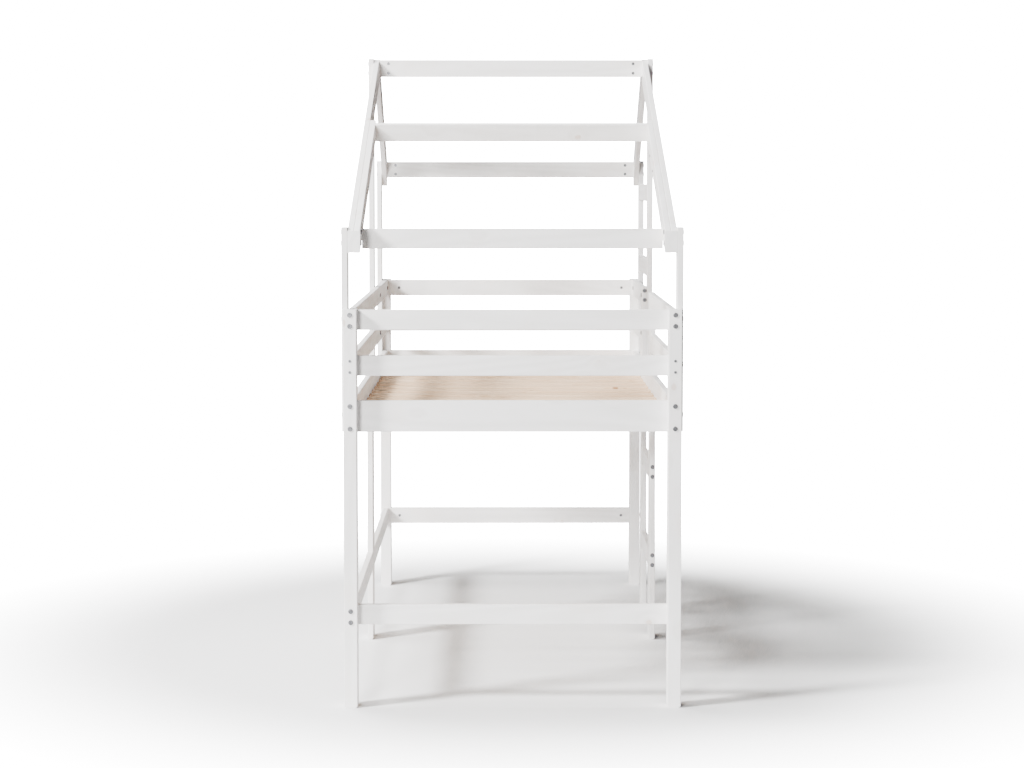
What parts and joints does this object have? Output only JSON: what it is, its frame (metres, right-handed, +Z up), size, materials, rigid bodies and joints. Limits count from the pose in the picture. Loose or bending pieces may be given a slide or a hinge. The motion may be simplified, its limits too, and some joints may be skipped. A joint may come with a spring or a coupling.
{
  "type": "loft bed",
  "caption": "Child's loft bed on four posts with guard boards, a slatted base, a side ladder and an open house-shaped roof frame.",
  "frame": {"origin": "on the floor, under the middle of the bed's outer box", "axes": "+Z up, +X across the bed towards the ladder side, +Y along the bed towards the high ridge end"},
  "size_m": [0.9832, 2.0272, 1.922],
  "materials": {
    "white_painted_pine": "white satin paint over planed pine",
    "bare_pine": "planed, unpainted",
    "bare_beech": "turned, unpainted",
    "zinc_steel": "zinc plated"
  },
  "bodies": {
    "root": {"barrel_nuts": "zinc_steel", "bottom_rail_left_far": "white_painted_pine", "bottom_rail_left_near": "white_painted_pine", "centre_leg_left": "white_painted_pine", "deep_rail_left": "white_painted_pine", "deep_rail_right_far": "white_painted_pine", "deep_rail_right_near": "white_painted_pine", "dowels": "bare_beech", "eave_board_far": "white_painted_pine", "eave_board_near": "white_painted_pine", "end_bottom_rail_far": "white_painted_pine", "end_bottom_rail_near": "white_painted_pine", "end_deep_board_far": "white_painted_pine", "end_deep_board_near": "white_painted_pine", "end_mid_guard_far": "white_painted_pine", "end_mid_guard_near": "white_painted_pine", "end_top_guard_far": "white_painted_pine", "end_top_guard_near": "white_painted_pine", "frame_bolts": "zinc_steel", "ladder_bolts": "zinc_steel", "ladder_rung_lower": "white_painted_pine", "ladder_rung_upper": "white_painted_pine", "ladder_step_rail": "white_painted_pine", "ladder_stile_far": "white_painted_pine", "ladder_stile_near": "white_painted_pine", "mid_guard_left": "white_painted_pine", "mid_guard_right_far": "white_painted_pine", "mid_guard_right_near": "white_painted_pine", "post_far_left": "white_painted_pine", "post_far_right": "white_painted_pine", "post_near_left": "white_painted_pine", "post_near_right": "white_painted_pine", "rafter_doubler_left": "white_painted_pine", "rafter_doubler_right": "white_painted_pine", "rafter_far_left": "white_painted_pine", "rafter_far_right": "white_painted_pine", "rafter_near_left": "white_painted_pine", "rafter_near_right": "white_painted_pine", "ridge_board": "white_painted_pine", "roof_bolts": "zinc_steel", "screws": "zinc_steel", "slat_ledger_left": "bare_pine", "slat_ledger_right": "bare_pine", "slats_far": "bare_pine", "slats_near": "bare_pine", "slope_board": "white_painted_pine", "tie_rods": "zinc_steel", "top_guard_left": "white_painted_pine", "top_guard_right_far": "white_painted_pine", "top_guard_right_near": "white_painted_pine", "upright_far_left": "white_painted_pine", "upright_far_right": "white_painted_pine", "upright_near_left": "white_painted_pine", "upright_near_right": "white_painted_pine", "upright_ridge_left": "white_painted_pine", "upright_ridge_right": "white_painted_pine", "window_rail_lower": "white_painted_pine", "window_rail_upper": "white_painted_pine"}
  },
  "joints": []
}
